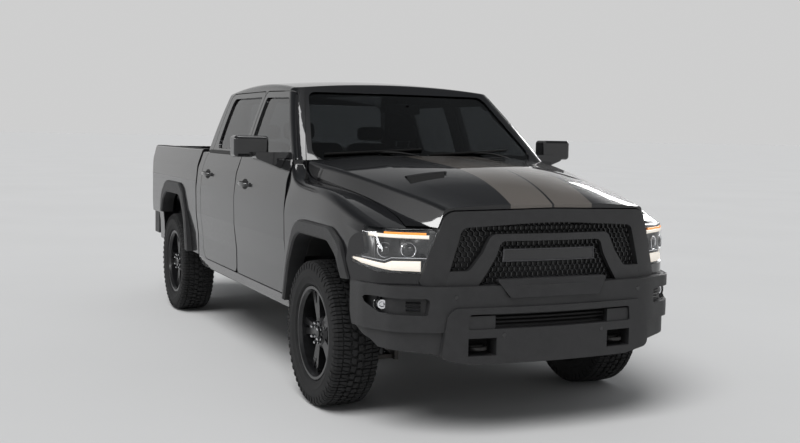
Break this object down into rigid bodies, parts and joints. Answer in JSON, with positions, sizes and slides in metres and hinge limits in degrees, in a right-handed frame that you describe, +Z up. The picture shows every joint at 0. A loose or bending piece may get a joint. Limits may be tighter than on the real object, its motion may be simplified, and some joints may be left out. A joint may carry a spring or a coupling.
{
  "type": "pickup truck",
  "caption": "Full-size four-door pickup truck with an open cargo bed, tall black grille, wide wheel flares, opening doors, hood and tailgate, and steered front wheels.",
  "frame": {"origin": "on the ground below the middle of the truck, at the centre of its bounding box's underside", "axes": "X runs across the truck and +X is its left side, -Y is forward so +Y points to the tailgate, and Z is up"},
  "size_m": [2.47, 5.8163, 1.9449],
  "materials": {
    "paint_black": "gloss",
    "plastic_black": "matte",
    "glass_dark": "gloss",
    "lamp_clear": "gloss",
    "lamp_red": "gloss",
    "tyre": "matte",
    "wheel_black": "satin",
    "frame_steel": "satin",
    "cast_dark": "matte",
    "exhaust_steel": "satin",
    "seat_cloth": "matte",
    "trim_dark": "matte",
    "bed_liner": "matte"
  },
  "bodies": {
    "body": {"frame_rail_left": "frame_steel", "frame_rail_right": "frame_steel", "frame_crossmembers": "frame_steel", "cab_floor": "trim_dark", "cab_side_left": "paint_black", "cab_side_right": "paint_black", "cab_roof": "paint_black", "cab_back": "paint_black", "cab_glass": "glass_dark", "cowl": "plastic_black", "dashboard": "trim_dark", "steering_column": "trim_dark", "fender_left": "paint_black", "fender_right": "paint_black", "headlamps": "lamp_clear", "grille_surround": "plastic_black", "grille_insert": "plastic_black", "front_bumper": "plastic_black", "bed_floor": "bed_liner", "bed_side_left": "paint_black", "bed_side_right": "paint_black", "tail_lamps": "lamp_red", "rear_bumper": "plastic_black", "engine": "cast_dark", "front_seats": "seat_cloth", "rear_seat": "seat_cloth", "rear_axle": "cast_dark", "suspension_arms": "cast_dark", "exhaust": "exhaust_steel", "fuel_tank": "trim_dark", "driveshafts": "frame_steel", "wheel_flares": "plastic_black", "arch_liners": "plastic_black"},
    "hood": {"hood": "paint_black"},
    "tailgate": {"tailgate": "paint_black"},
    "steering_wheel": {"steering_wheel": "trim_dark"},
    "door_front_left": {"door_front_left": "paint_black", "door_glass_front_left": "glass_dark", "mirror_left": "plastic_black"},
    "door_rear_left": {"door_rear_left": "paint_black", "door_glass_rear_left": "glass_dark"},
    "knuckle_left": {"knuckle_left": "cast_dark"},
    "wheel_front_left": {"tyre_front_left": "tyre", "rim_front_left": "wheel_black"},
    "wheel_rear_left": {"tyre_rear_left": "tyre", "rim_rear_left": "wheel_black"},
    "door_front_right": {"door_front_right": "paint_black", "door_glass_front_right": "glass_dark", "mirror_right": "plastic_black"},
    "door_rear_right": {"door_rear_right": "paint_black", "door_glass_rear_right": "glass_dark"},
    "knuckle_right": {"knuckle_right": "cast_dark"},
    "wheel_front_right": {"tyre_front_right": "tyre", "rim_front_right": "wheel_black"},
    "wheel_rear_right": {"tyre_rear_right": "tyre", "rim_rear_right": "wheel_black"}
  },
  "joints": [
    {"name": "door_front_left_swing", "type": "hinge", "parent": "body", "child": "door_front_left", "pos_m": [0.96, -1.335, 1.03], "axis": [0, 0, -1], "range_deg": [0, 67]},
    {"name": "door_rear_left_swing", "type": "hinge", "parent": "body", "child": "door_rear_left", "pos_m": [0.96, -0.1985, 1.03], "axis": [0, 0, -1], "range_deg": [0, 75]},
    {"name": "door_front_right_swing", "type": "hinge", "parent": "body", "child": "door_front_right", "pos_m": [-0.96, -1.335, 1.03], "axis": [0, 0, 1], "range_deg": [0, 67]},
    {"name": "door_rear_right_swing", "type": "hinge", "parent": "body", "child": "door_rear_right", "pos_m": [-0.96, -0.1985, 1.03], "axis": [0, 0, 1], "range_deg": [0, 75]},
    {"name": "hood_lift", "type": "hinge", "parent": "body", "child": "hood", "pos_m": [0, -1.44, 1.345], "axis": [-1, 0, 0], "range_deg": [0, 45]},
    {"name": "tailgate_drop", "type": "hinge", "parent": "body", "child": "tailgate", "pos_m": [0, 2.725, 0.936], "axis": [-1, 0, 0], "range_deg": [0, 90]},
    {"name": "steer_left", "type": "hinge", "parent": "body", "child": "knuckle_left", "pos_m": [0.808, -1.8885, 0.419], "axis": [0, 0, 1], "range_deg": [-32, 32]},
    {"name": "steer_right", "type": "hinge", "parent": "body", "child": "knuckle_right", "pos_m": [-0.808, -1.8885, 0.419], "axis": [0, 0, 1], "range_deg": [-32, 32]},
    {"name": "wheel_front_left_roll", "type": "hinge", "parent": "knuckle_left", "child": "wheel_front_left", "pos_m": [0.868, -1.8885, 0.419], "axis": [1, 0, 0], "continuous": true},
    {"name": "wheel_rear_left_roll", "type": "hinge", "parent": "body", "child": "wheel_rear_left", "pos_m": [0.868, 1.6805, 0.419], "axis": [1, 0, 0], "continuous": true},
    {"name": "wheel_front_right_roll", "type": "hinge", "parent": "knuckle_right", "child": "wheel_front_right", "pos_m": [-0.868, -1.8885, 0.419], "axis": [1, 0, 0], "continuous": true},
    {"name": "wheel_rear_right_roll", "type": "hinge", "parent": "body", "child": "wheel_rear_right", "pos_m": [-0.868, 1.6805, 0.419], "axis": [1, 0, 0], "continuous": true},
    {"name": "steering_wheel_turn", "type": "hinge", "parent": "body", "child": "steering_wheel", "pos_m": [0.425, -0.88, 1.18], "axis": [0, 0.9063, 0.4226], "range_deg": [-481, 481]}
  ],
  "couplings": [
    {"joint": "steer_right", "follows": "steer_left", "ratio": 1},
    {"joint": "steering_wheel_turn", "follows": "steer_left", "ratio": 15}
  ]
}
